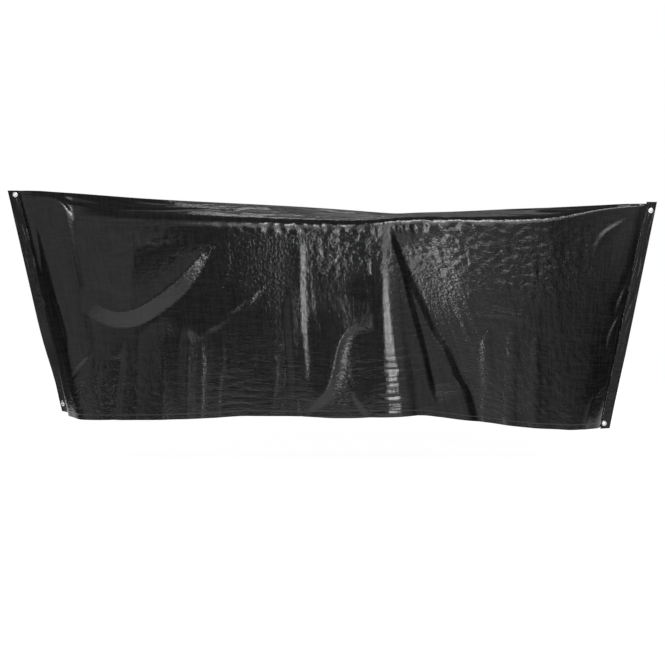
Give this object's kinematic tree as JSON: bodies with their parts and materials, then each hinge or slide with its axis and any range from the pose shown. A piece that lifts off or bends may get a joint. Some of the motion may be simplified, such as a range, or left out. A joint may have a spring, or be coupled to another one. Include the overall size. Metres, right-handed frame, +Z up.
{
  "type": "bicycle cover",
  "caption": "Long black tarpaulin cover for a tandem bicycle, folded over the top, closed at both ends and open below, with an eyelet at each corner.",
  "frame": {"origin": "under the sheet, just below the lowest point of its ridge, where the covered bicycle holds it up", "axes": "+Z up; +X along the cover; -Y is the side that faces the camera in the picture; the middle plane Y=0 holds the ridge and both closed ends"},
  "size_m": [3.0962, 0.5288, 1.1495],
  "materials": {
    "tarpaulin": "black woven tape sheet with a glossy coating",
    "end_band": "black woven tape sheet with a glossy coating, welded double",
    "eyelet": "satin pressed aluminium"
  },
  "bodies": {
    "root": {"cover_sheet": "tarpaulin", "end_band_left": "end_band", "end_band_right": "end_band", "eyelet_top_left": "eyelet", "eyelet_bottom_left": "eyelet", "eyelet_top_right": "eyelet", "eyelet_bottom_right": "eyelet"}
  },
  "joints": []
}
